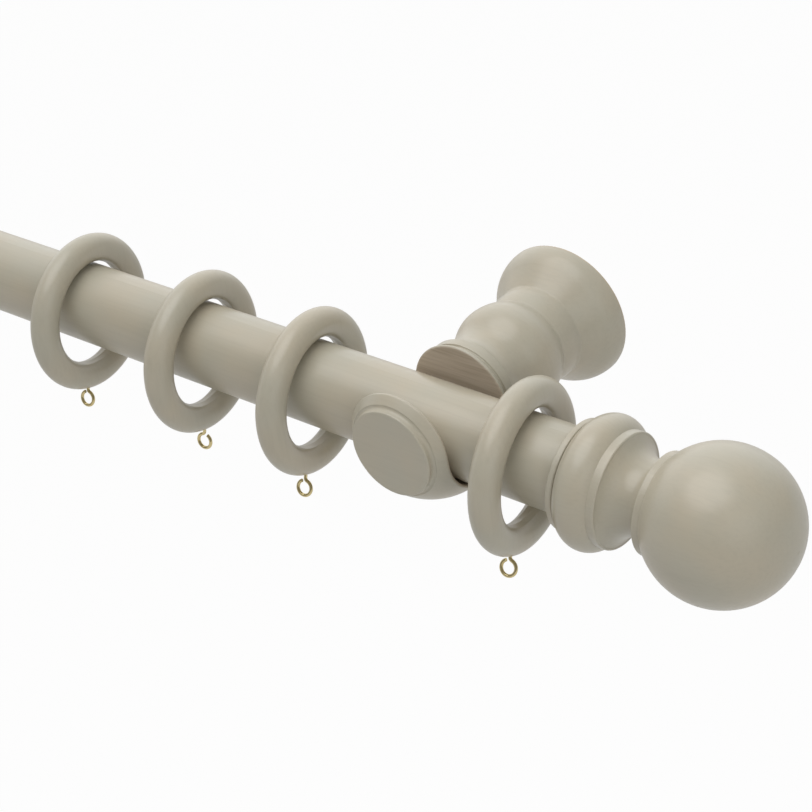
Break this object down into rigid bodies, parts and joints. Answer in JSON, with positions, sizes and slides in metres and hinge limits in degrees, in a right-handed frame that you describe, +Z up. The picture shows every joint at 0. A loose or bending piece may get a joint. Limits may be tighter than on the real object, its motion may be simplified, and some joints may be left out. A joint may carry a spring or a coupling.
{
  "type": "curtain rod with brackets",
  "caption": "Turned wooden curtain pole in satin taupe paint, lying in cup brackets, with ball finials that unscrew and rings with brass screw eyes that slide along it.",
  "frame": {"origin": "middle of the right bracket's wall face", "axes": "+X along the pole to the right, +Y into the wall, +Z up"},
  "size_m": [1.3858, 0.1278, 0.0844],
  "materials": {
    "painted_wood": "satin taupe paint over turned wood",
    "brass": "bright brass-plated wire and bushes",
    "zinc_steel": "zinc-plated steel"
  },
  "bodies": {
    "brackets": {"bracket_right": "painted_wood", "bracket_insert_right": "brass", "wall_plate_right": "zinc_steel", "wall_stud_right": "zinc_steel", "bracket_left": "painted_wood", "bracket_insert_left": "brass", "wall_plate_left": "zinc_steel", "wall_stud_left": "zinc_steel"},
    "pole": {"pole": "painted_wood", "pole_insert_right": "brass", "pole_insert_left": "brass"},
    "finial_bolt_right": {"finial_bolt_right": "zinc_steel"},
    "finial_right": {"finial_right": "painted_wood"},
    "ring_right_1": {"ring_right_1": "painted_wood", "ring_eye_right_1": "brass"},
    "ring_right_2": {"ring_right_2": "painted_wood", "ring_eye_right_2": "brass"},
    "ring_right_3": {"ring_right_3": "painted_wood", "ring_eye_right_3": "brass"},
    "ring_right_4": {"ring_right_4": "painted_wood", "ring_eye_right_4": "brass"},
    "ring_right_end": {"ring_right_end": "painted_wood", "ring_eye_right_end": "brass"},
    "finial_bolt_left": {"finial_bolt_left": "zinc_steel"},
    "finial_left": {"finial_left": "painted_wood"},
    "ring_left_1": {"ring_left_1": "painted_wood", "ring_eye_left_1": "brass"},
    "ring_left_2": {"ring_left_2": "painted_wood", "ring_eye_left_2": "brass"},
    "ring_left_3": {"ring_left_3": "painted_wood", "ring_eye_left_3": "brass"},
    "ring_left_4": {"ring_left_4": "painted_wood", "ring_eye_left_4": "brass"},
    "ring_left_end": {"ring_left_end": "painted_wood", "ring_eye_left_end": "brass"}
  },
  "joints": [
    {"name": "pole_lift", "type": "slide", "parent": "brackets", "child": "pole", "axis": [0, 0, 1], "range_m": [0, 0.05]},
    {"name": "finial_right_draw", "type": "slide", "parent": "pole", "child": "finial_bolt_right", "axis": [1, 0, 0], "range_m": [0, 0.0101]},
    {"name": "finial_right_turn", "type": "hinge", "parent": "finial_bolt_right", "child": "finial_right", "pos_m": [0.068, -0.09203, -0.0024], "axis": [1, 0, 0], "range_deg": [0, 2880]},
    {"name": "ring_right_1_slide", "type": "slide", "parent": "pole", "child": "ring_right_1", "axis": [-1, 0, 0], "range_m": [-0.0287, 0.0662]},
    {"name": "ring_right_2_slide", "type": "slide", "parent": "ring_right_1", "child": "ring_right_2", "axis": [-1, 0, 0], "range_m": [-0.0497, 0.067]},
    {"name": "ring_right_3_slide", "type": "slide", "parent": "ring_right_2", "child": "ring_right_3", "axis": [-1, 0, 0], "range_m": [-0.0562, 0.0605]},
    {"name": "ring_right_4_slide", "type": "slide", "parent": "ring_right_3", "child": "ring_right_4", "axis": [-1, 0, 0], "range_m": [-0.0987, 0.018]},
    {"name": "ring_right_end_slide", "type": "slide", "parent": "pole", "child": "ring_right_end", "axis": [1, 0, 0], "range_m": [-0.0075, 0.0148]},
    {"name": "finial_left_draw", "type": "slide", "parent": "pole", "child": "finial_bolt_left", "axis": [-1, 0, 0], "range_m": [0, 0.0101]},
    {"name": "finial_left_turn", "type": "hinge", "parent": "finial_bolt_left", "child": "finial_left", "pos_m": [-1.132, -0.09203, -0.0024], "axis": [-1, 0, 0], "range_deg": [0, 2880]},
    {"name": "ring_left_1_slide", "type": "slide", "parent": "pole", "child": "ring_left_1", "axis": [1, 0, 0], "range_m": [-0.0287, 0.0662]},
    {"name": "ring_left_2_slide", "type": "slide", "parent": "ring_left_1", "child": "ring_left_2", "axis": [1, 0, 0], "range_m": [-0.0497, 0.067]},
    {"name": "ring_left_3_slide", "type": "slide", "parent": "ring_left_2", "child": "ring_left_3", "axis": [1, 0, 0], "range_m": [-0.0562, 0.0605]},
    {"name": "ring_left_4_slide", "type": "slide", "parent": "ring_left_3", "child": "ring_left_4", "axis": [1, 0, 0], "range_m": [-0.0987, 0.018]},
    {"name": "ring_left_end_slide", "type": "slide", "parent": "pole", "child": "ring_left_end", "axis": [-1, 0, 0], "range_m": [-0.0075, 0.0148]}
  ],
  "couplings": [
    {"joint": "finial_right_draw", "follows": "finial_right_turn", "m_per_rad": 0.00019894},
    {"joint": "finial_left_draw", "follows": "finial_left_turn", "m_per_rad": 0.00019894}
  ]
}
